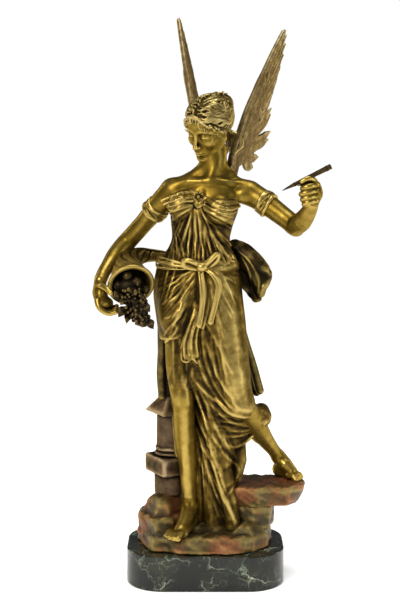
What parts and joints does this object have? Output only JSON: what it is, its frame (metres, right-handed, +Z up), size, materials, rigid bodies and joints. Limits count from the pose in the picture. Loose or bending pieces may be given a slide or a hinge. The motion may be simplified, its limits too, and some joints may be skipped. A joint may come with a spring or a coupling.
{
  "type": "bronze statuette",
  "caption": "Winged allegorical figure of a draped woman with a stylus and a horn of plenty, in patinated bronze on a rock base and dark marble plinth.",
  "frame": {"origin": "centre of the felt underside of the plinth, where the statuette stands", "axes": "+Z up, +Y towards the back of the figure, +X towards her left hand"},
  "size_m": [0.2689, 0.2255, 0.6604],
  "materials": {
    "golden_bronze": "gilt-brown patina, rubbed bright on the high parts",
    "dark_bronze": "dark brown patina",
    "rock_bronze": "red-brown and green patina on a rough casting",
    "marble": "polished black marble with pale green and white veins",
    "felt": "felt",
    "steel": "plain"
  },
  "bodies": {
    "root": {"back_drape_left": "dark_bronze", "back_drape_right": "dark_bronze", "brooch": "golden_bronze", "cloak_tail": "dark_bronze", "felt_sheet": "felt", "figure_screws": "steel", "foot_dowels": "steel", "fruit_cluster": "dark_bronze", "head_casting": "golden_bronze", "horn": "golden_bronze", "left_arm": "golden_bronze", "left_leg": "golden_bronze", "left_wing": "dark_bronze", "marble_plinth": "marble", "neckline_band": "golden_bronze", "overskirt": "dark_bronze", "pillar_base": "dark_bronze", "pillar_bolt": "steel", "pillar_cap": "dark_bronze", "pillar_drum": "dark_bronze", "pillar_shaft": "dark_bronze", "right_arm": "golden_bronze", "right_leg": "golden_bronze", "right_wing": "dark_bronze", "rock_terrace": "rock_bronze", "sash_ribbons": "golden_bronze", "skirt_casting": "golden_bronze", "step_block": "rock_bronze", "step_screw": "steel", "step_slab": "rock_bronze", "stylus": "golden_bronze", "tenon_pins": "steel", "tie_nuts": "steel", "tie_studs": "steel", "tie_washers": "steel", "torso_casting": "golden_bronze", "waist_sash": "dark_bronze", "wing_screws": "steel"}
  },
  "joints": []
}
